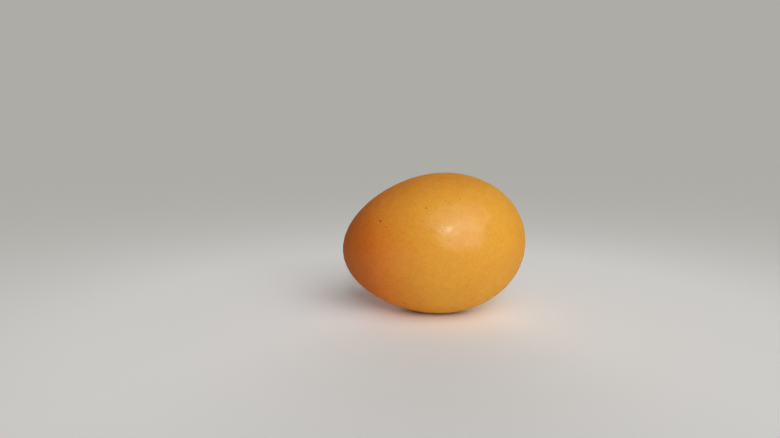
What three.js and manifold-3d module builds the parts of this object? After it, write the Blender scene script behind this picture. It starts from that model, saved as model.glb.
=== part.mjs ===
// A whole brown hen's egg in its shell, lying on a level surface the way a free egg comes to rest.
//
// The egg is one closed solid of revolution. Its long axis lies in the XZ plane: the blunt end is
// towards +X, and the pointed end is towards -X and a little lower, because an egg rolls until its
// centre of mass is over the point that it rests on. The lowest skin is levelled to a small flat
// spot. The origin is the middle of that spot, on the surface, +Z is up and lengths are in mm.

import * as THREE from "three";
import { mergeVertices } from "three/addons/utils/BufferGeometryUtils.js";
import Module from "manifold-3d";

// Driving dimensions.
const LENGTH = 59; // from pole to pole
const BREADTH = 45.2; // across the widest ring
const BLUNTNESS = 0.1; // how much fuller the blunt half is than the pointed half
const END_FULLNESS = -0.03; // below zero, both ends are a little slimmer than an ellipse's
const FLAT_DEPTH = 0.3; // the height of skin that is levelled off under the lowest point

// How finely the surface is divided.
const STEPS_ALONG = 44;
const STEPS_AROUND = 64;
const FINE_STEPS = 4000; // for finding the widest ring, the centre of mass and the resting point

// The shell's colour and sheen.
const SHELL_COLOUR = 0xd48e27;
const SHELL_ROUGHNESS = 0.42;

/** Places along the axis, as shares of the half length, from the pointed pole to the blunt one. */
function stations(steps) {
  return Array.from({ length: steps + 1 }, (_, i) => -Math.cos((Math.PI * i) / steps));
}

/** An ellipse's radius, made fuller towards the blunt end and slimmer at both ends. */
function relativeRadius(t) {
  return Math.sqrt(1 - t * t) * (1 + BLUNTNESS * t + END_FULLNESS * t * t);
}

const WIDEST = Math.max(...stations(FINE_STEPS).map(relativeRadius));

/** Points (radius, height along the axis) on the outline, from the pointed pole to the blunt one. */
function outline(steps) {
  return stations(steps).map(
    (t) => new THREE.Vector2(((BREADTH / 2) * relativeRadius(t)) / WIDEST, (LENGTH / 2) * t),
  );
}

/** The centre of mass of the solid of revolution, as a point on its axis. */
function centreOfMass(points) {
  let volume = 0;
  let moment = 0;
  for (let i = 1; i < points.length; i += 1) {
    const middle = points[i].clone().add(points[i - 1]).divideScalar(2);
    const slice = middle.x ** 2 * (points[i].y - points[i - 1].y);
    volume += slice;
    moment += slice * middle.y;
  }
  return new THREE.Vector2(0, moment / volume);
}

/** The point nearest to the centre of mass: the lowest an egg can lie, so the one it rests on. */
function restingPoint(points, centre) {
  return points.reduce((best, p) => (p.distanceTo(centre) < best.distanceTo(centre) ? p : best));
}

/** The egg's skin, turned from the lathe's upright axis to its resting pose. */
function restingEgg() {
  const fineOutline = outline(FINE_STEPS);
  const centre = centreOfMass(fineOutline);
  const contact = restingPoint(fineOutline, centre);
  const tilt = Math.atan2(centre.y - contact.y, contact.x);

  const skin = new THREE.LatheGeometry(outline(STEPS_ALONG), STEPS_AROUND);
  skin.translate(0, -centre.y, 0);
  skin.rotateZ(-Math.PI / 2); // the blunt end goes from +Y to +X
  skin.rotateY(-tilt); // and is raised by the tilt
  skin.translate(0, 0, contact.distanceTo(centre) - FLAT_DEPTH);
  return skin;
}

/** A block that fills the space below the surface the egg lies on. */
function groundBlock() {
  const block = new THREE.BoxGeometry(2 * LENGTH, 2 * LENGTH, LENGTH);
  block.translate(0, 0, -LENGTH / 2);
  return block;
}

const wasm = await Module();
wasm.setup();

/** A closed manifold solid from a three.js geometry. */
function toSolid(geometry) {
  geometry.deleteAttribute("normal");
  geometry.deleteAttribute("uv");
  const merged = mergeVertices(geometry);
  const vertProperties = merged.attributes.position.array;
  const triVerts = new Uint32Array(merged.index.array);
  return new wasm.Manifold(new wasm.Mesh({ numProp: 3, vertProperties, triVerts }));
}

/** A three.js geometry from a manifold solid. */
function toGeometry(solid) {
  const { vertProperties, triVerts } = solid.getMesh();
  const geometry = new THREE.BufferGeometry();
  geometry.setAttribute("position", new THREE.BufferAttribute(vertProperties, 3));
  geometry.setIndex(new THREE.BufferAttribute(triVerts, 1));
  geometry.computeVertexNormals();
  return geometry;
}

/** The whole egg, flat spot included, as one named mesh. */
function makeEgg() {
  const solid = toSolid(restingEgg()).subtract(toSolid(groundBlock()));
  const shell = new THREE.MeshStandardMaterial({
    color: SHELL_COLOUR,
    roughness: SHELL_ROUGHNESS,
    metalness: 0,
  });
  const egg = new THREE.Mesh(toGeometry(solid), shell);
  egg.name = "egg";
  return egg;
}

const group = new THREE.Group();
group.add(makeEgg());

export default group;
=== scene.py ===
"""A brown hen's egg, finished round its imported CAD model, on the floor of a pale studio.

Run as a script it builds everything. Its settings and operators are laid out as an add-on's.
Lengths are in metres unless a comment says otherwise, and +X is the egg's blunt end.
"""

import math

import bpy
import numpy as np
from bpy.props import FloatProperty, FloatVectorProperty, IntProperty, PointerProperty
from mathutils import Matrix, Vector


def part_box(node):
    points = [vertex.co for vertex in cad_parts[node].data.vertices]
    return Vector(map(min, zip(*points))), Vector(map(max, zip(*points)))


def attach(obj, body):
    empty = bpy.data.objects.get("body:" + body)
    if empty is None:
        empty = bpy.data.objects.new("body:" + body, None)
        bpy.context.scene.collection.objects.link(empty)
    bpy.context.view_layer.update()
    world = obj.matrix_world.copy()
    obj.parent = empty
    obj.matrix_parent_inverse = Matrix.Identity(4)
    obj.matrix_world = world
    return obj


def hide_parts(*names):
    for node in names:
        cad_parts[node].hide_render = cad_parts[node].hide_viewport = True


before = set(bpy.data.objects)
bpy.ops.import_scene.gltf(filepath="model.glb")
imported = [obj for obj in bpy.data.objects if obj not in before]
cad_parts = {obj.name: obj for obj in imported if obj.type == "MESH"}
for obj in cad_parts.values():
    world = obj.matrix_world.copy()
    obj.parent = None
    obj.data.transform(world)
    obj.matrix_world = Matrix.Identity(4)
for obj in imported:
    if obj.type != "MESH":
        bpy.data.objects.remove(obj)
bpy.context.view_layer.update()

MM = 0.001

OUTLINE_POINTS = 4001  # for finding the widest ring, the centre of mass and the resting point
MAP_COLUMNS, MAP_ROWS = 3, 2  # how the shell's six grids are laid out on its flat map
MAP_FILL = 0.99  # the share of its place's side that each grid fills there

FLOOR_RADIUS = 3.0
FLOOR_SIDES = 96
FADE_STARTS = 0.1  # how far out the floor starts to take the backdrop's colour
FADE_ENDS = 2.5  # and how far out it has all of it
LAMP_DISTANCE = 4.0
SENSOR_WIDTH = 36  # the camera's, in mm

# The layers of the shell's relief, from broad unevenness to fine grain: the height and wavelength
# of each in mm, and how many waves it is made of.
RELIEF = [(0.035, 26, 24), (0.012, 3.4, 48), (0.006, 1.4, 64)]

# The larger specks: where each is along the egg, from -1 at the pointed pole to 1 at the blunt one,
# its angle round the egg from the top, towards -Y, in degrees, its radius in mm and how dark it is.
LARGE_SPECKS = [
    (-0.5, 54, 0.45, 1.0),
    (-0.02, 53, 0.42, 0.45),
    (0.03, 52, 0.3, 0.3),
    (-0.13, 47, 0.32, 0.3),
    (-0.07, 63, 0.28, 0.3),
    (-0.2, 49, 0.25, 0.3),
    (0.21, 50, 0.3, 0.3),
    (0.32, 47, 0.35, 0.3),
    (0.46, 54, 0.3, 0.3),
    (0.57, 37, 0.3, 0.25),
    (-0.44, 62, 0.25, 0.8),
    (-0.69, 51, 0.35, 0.4),
    (-0.35, 141, 0.4, 0.9),
    (0.3, 118, 0.32, 0.4),
    (0.12, 196, 0.36, 0.6),
    (-0.2, 243, 0.3, 0.4),
    (0.48, 262, 0.35, 0.5),
    (-0.55, 305, 0.38, 0.8),
]

bl_info = {
    "name": "Brown Egg",
    "version": (1, 0, 0),
    "blender": (4, 5, 0),
    "location": "3D View > Sidebar > Egg",
    "description": "Makes a hen's egg with the relief and pigment of its shell, and a studio for it",
    "category": "Add Mesh",
}


def linear(code):
    """A linear colour from six hexadecimal digits, two each for red, green and blue."""
    shares = [int(code[i : i + 2], 16) / 255 for i in (0, 2, 4)]
    return tuple(s / 12.92 if s <= 0.04045 else ((s + 0.055) / 1.055) ** 2.4 for s in shares)


def distance(name, description, default):
    """A property that holds a length."""
    return FloatProperty(
        name=name, description=description, default=default, precision=6, unit="LENGTH"
    )


def colour(name, description, code):
    """A property that holds a colour."""
    return FloatVectorProperty(
        name=name, description=description, default=linear(code), subtype="COLOR", min=0, max=1
    )


def level(name, description, default):
    """A property that holds the share of white that a white card renders at in one light alone."""
    return FloatProperty(name=name, description=description, default=default, min=0, subtype="FACTOR")


class EggShape(bpy.types.PropertyGroup):
    """The egg's driving dimensions, which are the CAD model's."""

    length: distance("Length", "From pole to pole", 59 * MM)
    breadth: distance("Breadth", "Across the widest ring", 45.2 * MM)
    bluntness: FloatProperty(
        name="Bluntness", description="How much fuller the blunt half is", default=0.1
    )
    end_fullness: FloatProperty(
        name="End fullness", description="Below zero, both ends are slimmer", default=-0.03
    )
    flat_depth: distance("Flat depth", "Height of skin levelled off where it rests", 0.3 * MM)
    squares: IntProperty(
        name="Squares", description="Squares along a side of each of the six grids", default=126
    )
    seed: IntProperty(name="Seed", description="Picks the shell's random relief", default=7)


class EggColours(bpy.types.PropertyGroup):
    """The shell's pigments, and the painted shade at the egg's top and pointed end."""

    pale: colour("Pale", "The shell where it holds least pigment", "e4a737")
    # This colour is also used for the painted shade at the top and, in part, at the pointed end.
    deep_and_shade: colour("Deep", "The shell where it holds most pigment", "d76606")
    # Painted shade: the tip colour is a darker brown that stands in for shade at the pointed end.
    tip: colour("Tip", "The shell at the tip of the pointed end", "ba5e08")
    freckle: colour("Freckle", "The small dark spots", "7c2c00")
    pinprick: colour("Pinprick", "The pale dots round the pores", "e8b974")


class EggStudio(bpy.types.PropertyGroup):
    """The floor, the lights and the camera."""

    floor: colour("Floor", "The floor's own colour", "f6f4f1")
    backdrop: colour("Backdrop", "What is behind the egg, and what the floor fades into", "aeaca6")
    ambient: level("Ambient", "The even light from all sides", 0.08)
    key: level("Key", "The large soft lamp at the front right", 0.63)
    sheen: level("Sheen", "The wide soft lamp above it, which makes the broad sheen", 0.5)
    window: level("Window", "The small lamp that makes the sharp highlight", 0.07)
    fill: level("Fill", "The soft lamp behind the egg, which makes no highlight", 0.8)
    camera_place: FloatVectorProperty(
        name="Camera place",
        description="Where the camera is, from the middle of the egg's flat spot",
        default=(-1.9 * MM, -189.5 * MM, 53.1 * MM),
        precision=5,
        subtype="TRANSLATION",
        unit="LENGTH",
    )
    camera_turn: FloatProperty(
        name="Camera turn",
        description="How far the camera looks to the left of +Y",
        default=math.radians(4),
        unit="ROTATION",
    )
    camera_dip: FloatProperty(
        name="Camera dip",
        description="How far the camera looks down from level",
        default=math.radians(6.93),
        unit="ROTATION",
    )
    camera_lens: FloatProperty(
        name="Lens",
        description="The camera's focal length in mm",
        default=27.14,
        subtype="DISTANCE_CAMERA",
    )


class Wire:
    """A node's output socket. Arithmetic on it adds Math nodes to its tree."""

    def __init__(self, socket):
        self.socket = socket

    def node(self, kind, inputs, output=0, **settings):
        """Adds a node, with its settings made first and then a value or a wire for each input."""
        tree = self.socket.id_data
        node = tree.nodes.new(kind)
        for name, value in settings.items():
            setattr(node, name, value)
        for name, value in inputs.items():
            if isinstance(value, Wire):
                tree.links.new(value.socket, node.inputs[name])
            else:
                node.inputs[name].default_value = value
        return Wire(node.outputs[output])

    def beside(self, output):
        """Another output of the same node."""
        return Wire(self.socket.node.outputs[output])

    def maths(self, operation, *values):
        return self.node("ShaderNodeMath", dict(enumerate(values)), operation=operation)

    def __add__(self, other):
        return self.maths("ADD", self, other)

    def __sub__(self, other):
        return self.maths("SUBTRACT", self, other)

    def __rsub__(self, other):
        return self.maths("SUBTRACT", other, self)

    def __mul__(self, other):
        return self.maths("MULTIPLY", self, other)

    def __truediv__(self, other):
        return self.maths("DIVIDE", self, other)

    def __rtruediv__(self, other):
        return self.maths("DIVIDE", other, self)

    __radd__ = __add__
    __rmul__ = __mul__

    def step(self, low, high):
        """0 at low and 1 at high, and smooth between them. Either may be the larger."""
        inputs = {"Value": self, "From Min": low, "From Max": high}
        return self.node("ShaderNodeMapRange", inputs, interpolation_type="SMOOTHSTEP")

    def mix(self, first, second):
        """The first colour where this wire is 0 and the second where it is 1."""
        return self.node("ShaderNodeMix", {0: self, 6: first, 7: second}, output=2, data_type="RGBA")


def six_grids(squares):
    """Directions through six square grids that cover a ball, with their squares and a flat map.

    On the grid that faces a way n, with sideways s and upwards u, the parameters a and b run from
    -45 to 45 degrees and the direction is n + tan(a) s + tan(b) u, scaled to length 1. Returns one
    direction for each vertex, four vertices for each square and a map place for each of its corners.
    """
    angles = np.linspace(-math.pi / 4, math.pi / 4, squares + 1)
    b, a = np.meshgrid(angles, angles, indexing="ij")
    x, y, z = np.eye(3)
    ways, places = [], []
    for i, (n, s, u) in enumerate(
        [(x, y, z), (-x, -y, z), (y, z, x), (-y, -z, x), (z, -y, x), (-z, y, x)]
    ):
        way = n + np.tan(a)[..., None] * s + np.tan(b)[..., None] * u
        ways.append((way / np.linalg.norm(way, axis=2, keepdims=True)).reshape(-1, 3))
        share = np.stack([a, b], axis=2) / (math.pi / 2) * MAP_FILL + 0.5
        share = (share + (i % MAP_COLUMNS, i // MAP_COLUMNS)) / (MAP_COLUMNS, MAP_ROWS)
        places.append(share.reshape(-1, 2))
    row = squares + 1
    corner = np.arange(squares)[:, None] * row + np.arange(squares)
    grid = np.stack([corner, corner + 1, corner + row + 1, corner + row], axis=2).reshape(1, -1, 4)
    corners = (grid + np.arange(6)[:, None, None] * row**2).reshape(-1, 4)
    # Where two grids meet, their vertices are the same to many decimals, and are made one.
    ways, merged = np.unique(np.round(np.concatenate(ways), 9), axis=0, return_inverse=True)
    return ways, merged.ravel()[corners], np.concatenate(places)[corners.ravel()]


def egg_skin(ways, shape):
    """The smooth egg's points and outward normals, in the egg's own axes, for directions on a ball.

    A direction (x, y, z) goes to half the length times x along the egg and to half the breadth
    times y and z across it, the last two swelled by f = 1 + bluntness x + end_fullness x x and
    scaled so that the widest ring has the full breadth. The normal is the direction of
    (breadth/length (x f - (1 - x x) df/dx), y, z).
    """
    x = ways[:, :1]
    swell = 1 + shape.bluntness * x + shape.end_fullness * x**2
    slope = shape.bluntness + 2 * shape.end_fullness * x
    share = shape.breadth / widest(shape) / shape.length
    points = np.hstack([x, ways[:, 1:] * swell * share]) * shape.length / 2
    normals = np.hstack([share * (x * swell - (1 - x**2) * slope), ways[:, 1:]])
    return points, normals / np.linalg.norm(normals, axis=1, keepdims=True)


def outline(shape):
    """Places along the egg's axis, from -1 to 1, and the relative radius at each.

    The radius is the square root of 1 - t t, times 1 + bluntness t + end_fullness t t.
    """
    along = -np.cos(np.linspace(0, math.pi, OUTLINE_POINTS))
    swell = 1 + shape.bluntness * along + shape.end_fullness * along**2
    return along, np.sqrt(1 - along**2) * swell


def widest(shape):
    """The largest relative radius."""
    return outline(shape)[1].max()


def resting_pose(shape):
    """How an egg lies: its skin touches the surface at its point nearest to the centre of mass.

    Returns where the centre of mass is on the axis, how far the blunt end is raised, and the
    height of the centre of mass over the surface before the flat spot is made.
    """
    along, radius = outline(shape)
    along = along * shape.length / 2
    radius = radius / widest(shape) * shape.breadth / 2
    middles = (along[1:] + along[:-1]) / 2
    slices = ((radius[1:] + radius[:-1]) / 2) ** 2 * np.diff(along)
    centre = (slices * middles).sum() / slices.sum()
    gaps = np.hypot(along - centre, radius)
    nearest = gaps.argmin()
    return centre, math.atan2(centre - along[nearest], radius[nearest]), gaps[nearest]


def waves(points, wavelength, count, rng):
    """A smooth random height of mean 0 and spread 1: plane waves that run all ways, added up."""
    ways = rng.normal(size=(3, count))
    ways *= math.tau / wavelength / np.linalg.norm(ways, axis=0)
    phases = rng.uniform(0, math.tau, count)
    return np.cos(points @ ways + phases).sum(axis=1) / math.sqrt(count / 2)


def shell_relief(points, rng):
    """How far the real shell stands out from the smooth egg: all the layers of waves, added up."""
    return sum(
        height * MM * waves(points, wavelength * MM, count, rng)
        for height, wavelength, count in RELIEF
    )


def make_shell_mesh(shape):
    """The egg's closed skin with its relief, in its resting pose with its flat spot."""
    ways, squares, places = six_grids(shape.squares)
    points, normals = egg_skin(ways, shape)
    rng = np.random.default_rng(shape.seed)
    points = points + normals * shell_relief(points, rng)[:, None]

    centre, tilt, height = resting_pose(shape)
    turn = np.array(Matrix.Rotation(-tilt, 3, "Y"))
    points = (points - (centre, 0, 0)) @ turn.T + (0, 0, height - shape.flat_depth)
    points[:, 2] = np.maximum(points[:, 2], 0)

    mesh = bpy.data.meshes.new("eggshell")
    mesh.from_pydata(points, (), squares)
    mesh.uv_layers.new(name="OFBake").uv.foreach_set("vector", places.astype(np.float32).ravel())
    mesh.shade_smooth()
    return mesh


def dots(place, spacing, share, least, most, edge=0.5):
    """1 in round dots and 0 between them, one dot or none to each random cell of this spacing.

    A dot is kept in this share of the cells. Its radius is from least to most, and it fades
    outwards from this share of its radius, the edge.
    """
    cell = {"Vector": place, "Scale": 1 / spacing}
    away = place.node("ShaderNodeTexVoronoi", cell)
    luck = away.node("ShaderNodeSeparateColor", {"Color": away.beside("Color")})
    radius = luck.beside("Green") * (most - least) + least
    return (away * spacing / radius).step(1, edge) * luck.step(share + 0.001, share)


def noise(place, size, detail, roughness=0.5):
    """Noise with features of about this size, from -1 to 1 and mostly near 0."""
    inputs = {"Vector": place, "Scale": 1 / size, "Detail": detail, "Roughness": roughness}
    return place.node("ShaderNodeTexNoise", inputs) * 2 - 1


def stirred(place, size, by):
    """Places moved about by up to half this much, so that what is laid out on them is irregular."""
    inputs = {"Vector": place, "Scale": 1 / size, "Detail": 2}
    swirl = place.node("ShaderNodeTexNoise", inputs, output="Color")
    half = (0.5, 0.5, 0.5)
    centred = swirl.node("ShaderNodeVectorMath", {0: swirl, 1: half}, operation="SUBTRACT")
    moved = {0: centred, 1: (by, by, by), 2: place}
    return centred.node("ShaderNodeVectorMath", moved, operation="MULTIPLY_ADD")


def placed_specks(place, shape):
    """How dark the larger specks are, and 0 elsewhere."""
    specks = 0.0
    for along, around, radius, darkness in LARGE_SPECKS:
        turn = math.radians(around)
        across = math.sqrt(1 - along**2)
        way = np.array([[along, -across * math.sin(turn), across * math.cos(turn)]])
        ends = {0: place, 1: egg_skin(way, shape)[0][0] / MM}
        gap = place.node("ShaderNodeVectorMath", ends, output="Value", operation="DISTANCE")
        specks = gap.maths("MAXIMUM", (gap / radius).step(1, 0.5) * darkness, specks)
    return specks


def egg_axes(start, shape):
    """Places in millimetres along the egg's own axes, from the middle of its length."""
    centre, tilt, height = resting_pose(shape)
    low = (0, 0, height - shape.flat_depth)
    place = start.node("ShaderNodeVectorMath", {0: start, 1: low}, operation="SUBTRACT")
    inputs = {"Location": (centre / MM, 0, 0), "Rotation": (0, tilt, 0), "Scale": (1 / MM,) * 3}
    return place.node("ShaderNodeMapping", {"Vector": place} | inputs)


def body_colour(place, shape, colours, clouds, mottle, grain):
    """The shell between its dots: deeper towards both ends, with painted shade at the top, partly at
    the pointed end and in brown at the tip.
    """
    along = place.node("ShaderNodeSeparateXYZ", {"Vector": place})
    share = along / (shape.length / 2 / MM)  # from -1 at the pointed pole to 1 at the blunt one
    # Painted shade: the shell is made deeper towards its top, where less light falls.
    painted_top_shade = along.beside("Z").step(0.3 * shape.breadth / MM, 0.5 * shape.breadth / MM)
    # Deeper towards the pointed pole, partly the shell's pigment and partly painted shade, and a
    # little deeper towards the blunt pole.
    ends = share.step(0.1, -0.85) * 0.8 + share.step(0.6, 1) * 0.14
    # The depth of colour: the pigment's random patterns together with the painted shade above.
    depth = 0.12 + ends + painted_top_shade * 0.28 - clouds * 0.1 + mottle * 0.15 + grain * 0.25
    body = depth.mix((*colours.pale, 1), (*colours.deep_and_shade, 1))
    # Painted shade: towards the tip of the pointed end the shell turns a darker brown.
    body = share.step(-0.45, -0.95).mix(body, (*colours.tip, 1))
    # A trace of the freckles' brown runs through all of it, and is uneven in the same way.
    stain = 0.05 + mottle * 0.04 + grain * 0.12
    return stain.mix(body, (*colours.freckle, 1))


def dark_marks(place, shape):
    """How dark the fine dots, the freckles and the larger specks are, and 0 elsewhere."""
    ragged = stirred(place, 0.25, 0.25)
    fine = dots(ragged, 1.1, 0.5, 0.09, 0.18) * 0.33
    freckles = dots(ragged, 2.4, 0.5, 0.14, 0.26) * 0.45
    marks = fine.maths("MAXIMUM", fine, freckles)
    return marks.maths("MAXIMUM", marks, placed_specks(ragged, shape))


def shell_finish(shape, colours):
    """The shell's material: pigment in layers, a matt body and a thin glossy coat.

    Its patterns are laid out in millimetres along the egg's own axes.
    """
    material = bpy.data.materials.new("brown eggshell")
    material.use_nodes = True
    tree = material.node_tree
    skin = tree.nodes["Principled BSDF"]
    start = Wire(tree.nodes.new("ShaderNodeTexCoord").outputs["Object"])
    place = egg_axes(start, shape)

    # The patterns, from the largest to the smallest, and the pale dots round the pores.
    clouds = noise(place, 15, 2)
    mottle = noise(place, 2.2, 3, 0.6)
    grain = noise(place, 0.5, 3, 0.65)
    pores = dots(place, 1.0, 0.9, 0.05, 0.11)

    body = body_colour(place, shape, colours, clouds, mottle, grain)
    dotted = (pores * 0.25).mix(body, (*colours.pinprick, 1))
    painted = dark_marks(place, shape).mix(dotted, (*colours.freckle, 1))
    tree.links.new(painted.socket, skin.inputs["Base Color"])

    roughness = 0.42 + mottle * 0.06 + grain * 0.08
    tree.links.new(roughness.socket, skin.inputs["Roughness"])

    grit = grain * 0.02 - pores * 0.012  # in mm
    bump = start.node("ShaderNodeBump", {"Height": grit, "Distance": MM})
    tree.links.new(bump.socket, skin.inputs["Normal"])

    plain = {
        "Subsurface Weight": 0.3,
        "Subsurface Radius": (1.0, 0.3, 0.08),  # red light goes furthest through the shell
        "Subsurface Scale": 3 * MM,
        "Specular IOR Level": 0.0,  # the coat has all the gloss
        "Coat Weight": 0.15,
        "Coat IOR": 2.5,
        "Coat Roughness": 0.22,
    }
    for name, value in plain.items():
        skin.inputs[name].default_value = value
    return material


class EGG_OT_make_shell(bpy.types.Operator):
    """Make the egg: its relief, its resting pose and its finish"""

    bl_idname = "egg.make_shell"
    bl_label = "Make Shell"

    def execute(self, context):
        shape = context.scene.egg_shape
        shell = bpy.data.objects.new("eggshell", make_shell_mesh(shape))
        context.scene.collection.objects.link(shell)
        shell.data.materials.append(shell_finish(shape, context.scene.egg_colours))
        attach(shell, "root")
        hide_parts("egg")
        return {"FINISHED"}


def make_floor(studio):
    """A level disc: a middle point joined to a ring of points.

    The ring's point at turn t is (r cos t, r sin t, 0), where r is the floor's radius.
    """
    turns = np.arange(FLOOR_SIDES) * math.tau / FLOOR_SIDES
    points = np.zeros((FLOOR_SIDES + 1, 3))
    points[1:, 0] = FLOOR_RADIUS * np.cos(turns)
    points[1:, 1] = FLOOR_RADIUS * np.sin(turns)
    around = np.arange(FLOOR_SIDES)
    faces = np.stack([0 * around, around + 1, (around + 1) % FLOOR_SIDES + 1], axis=1)
    mesh = bpy.data.meshes.new("floor")
    mesh.from_pydata(points, (), faces)
    mesh.materials.append(floor_finish(studio))
    floor = bpy.data.objects.new("floor", mesh)
    bpy.context.scene.collection.objects.link(floor)


def sees_backdrop(start):
    """1 for what the camera sees, straight or in a reflection or through glass, and 0 for light."""
    straight = start.node("ShaderNodeLightPath", {}, output="Is Camera Ray")
    mirrored = straight.beside("Is Glossy Ray")
    through = straight.beside("Is Transmission Ray")
    return straight.maths("MAXIMUM", straight.maths("MAXIMUM", straight, mirrored), through)


def floor_finish(studio):
    """A matt floor that fades into the backdrop's colour with distance, but only to the eye."""
    material = bpy.data.materials.new("floor")
    material.use_nodes = True
    tree = material.node_tree
    near = tree.nodes["Principled BSDF"]
    near.inputs["Base Color"].default_value = (*studio.floor, 1)
    near.inputs["Roughness"].default_value = 0.8
    near.inputs["Specular IOR Level"].default_value = 0.0
    start = Wire(tree.nodes.new("ShaderNodeTexCoord").outputs["Object"])
    away = start.node("ShaderNodeVectorMath", {0: start}, output="Value", operation="LENGTH")
    far = start.node("ShaderNodeEmission", {"Color": (*studio.backdrop, 1)})
    factor = (1 / away).step(1 / FADE_STARTS, 1 / FADE_ENDS) * sees_backdrop(start)
    seen = start.node("ShaderNodeMixShader", {0: factor, 1: Wire(near.outputs[0]), 2: far})
    tree.links.new(seen.socket, tree.nodes["Material Output"].inputs["Surface"])
    return material


def make_world(scene, studio):
    """Even white light, in which the eye sees the backdrop's colour."""
    world = bpy.data.worlds.new("studio")
    world.use_nodes = True
    tree = world.node_tree
    light = tree.nodes["Background"]
    light.inputs["Color"].default_value = (1, 1, 1, 1)
    light.inputs["Strength"].default_value = studio.ambient
    start = Wire(light.outputs[0])
    backdrop = start.node("ShaderNodeBackground", {"Color": (*studio.backdrop, 1)})
    seen = start.node("ShaderNodeMixShader", {0: sees_backdrop(start), 1: start, 2: backdrop})
    tree.links.new(seen.socket, tree.nodes["World Output"].inputs["Surface"])
    scene.world = world


def make_lamp(name, azimuth, elevation, spread, brightness):
    """An oval lamp aimed at the egg, seen from it these many degrees wide and high.

    Azimuth 0 is the camera's side and 90 is +X. A white card at the egg that faces the lamp
    renders at this brightness, a share of white, which takes brightness times the square of
    (pi times distance) in watts. Returns the lamp's object.
    """
    lamp = bpy.data.lights.new(name, "AREA")
    lamp.shape = "ELLIPSE"
    lamp.size, lamp.size_y = (2 * LAMP_DISTANCE * math.tan(math.radians(s / 2)) for s in spread)
    lamp.energy = brightness * (math.pi * LAMP_DISTANCE) ** 2
    turn, rise = math.radians(azimuth), math.radians(elevation)
    way = Vector(
        (math.sin(turn) * math.cos(rise), -math.cos(turn) * math.cos(rise), math.sin(rise))
    )
    light = bpy.data.objects.new(name, lamp)
    light.location = Vector((0, 0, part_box("egg")[1][2] / 2)) + way * LAMP_DISTANCE
    light.rotation_euler = way.to_track_quat("Z", "Y").to_euler()
    bpy.context.scene.collection.objects.link(light)
    return light


class EGG_OT_make_stage(bpy.types.Operator):
    """Make the floor, the lights and the camera"""

    bl_idname = "egg.make_stage"
    bl_label = "Make Stage"

    def execute(self, context):
        scene = context.scene
        studio = scene.egg_studio
        make_floor(studio)
        make_world(scene, studio)
        make_lamp("key", 24, 18, (54, 54), studio.key)
        make_lamp("sheen", 30, 48, (76, 44), studio.sheen)
        make_lamp("window", 7, 29, (7, 5), studio.window)
        make_lamp("fill", 180, 8, (60, 30), studio.fill).visible_glossy = False

        camera = bpy.data.objects.new("camera", bpy.data.cameras.new("camera"))
        camera.data.lens = studio.camera_lens
        camera.data.sensor_width = SENSOR_WIDTH
        camera.data.clip_start = 10 * MM
        camera.location = studio.camera_place
        camera.rotation_euler = (math.pi / 2 - studio.camera_dip, 0, studio.camera_turn)
        scene.collection.objects.link(camera)
        scene.camera = camera
        scene.view_settings.view_transform = "Standard"
        return {"FINISHED"}


class EGG_PT_panel(bpy.types.Panel):
    """Lists the egg's settings and operators"""

    bl_idname = "EGG_PT_panel"
    bl_label = "Egg"
    bl_space_type = "VIEW_3D"
    bl_region_type = "UI"
    bl_category = "Egg"

    def draw(self, context):
        for group in ("egg_shape", "egg_colours", "egg_studio"):
            settings = getattr(context.scene, group)
            box = self.layout.box()
            for name in settings.__annotations__:
                box.prop(settings, name)
        self.layout.operator("egg.make_shell")
        self.layout.operator("egg.make_stage")


GROUPS = {"egg_shape": EggShape, "egg_colours": EggColours, "egg_studio": EggStudio}
CLASSES = (*GROUPS.values(), EGG_OT_make_shell, EGG_OT_make_stage, EGG_PT_panel)


def register():
    for made in CLASSES:
        bpy.utils.register_class(made)
    for name, group in GROUPS.items():
        setattr(bpy.types.Scene, name, PointerProperty(type=group))


def unregister():
    for name in GROUPS:
        delattr(bpy.types.Scene, name)
    for made in reversed(CLASSES):
        bpy.utils.unregister_class(made)


def main():
    register()
    bpy.ops.egg.make_shell()
    bpy.ops.egg.make_stage()


if __name__ == "__main__":
    main()
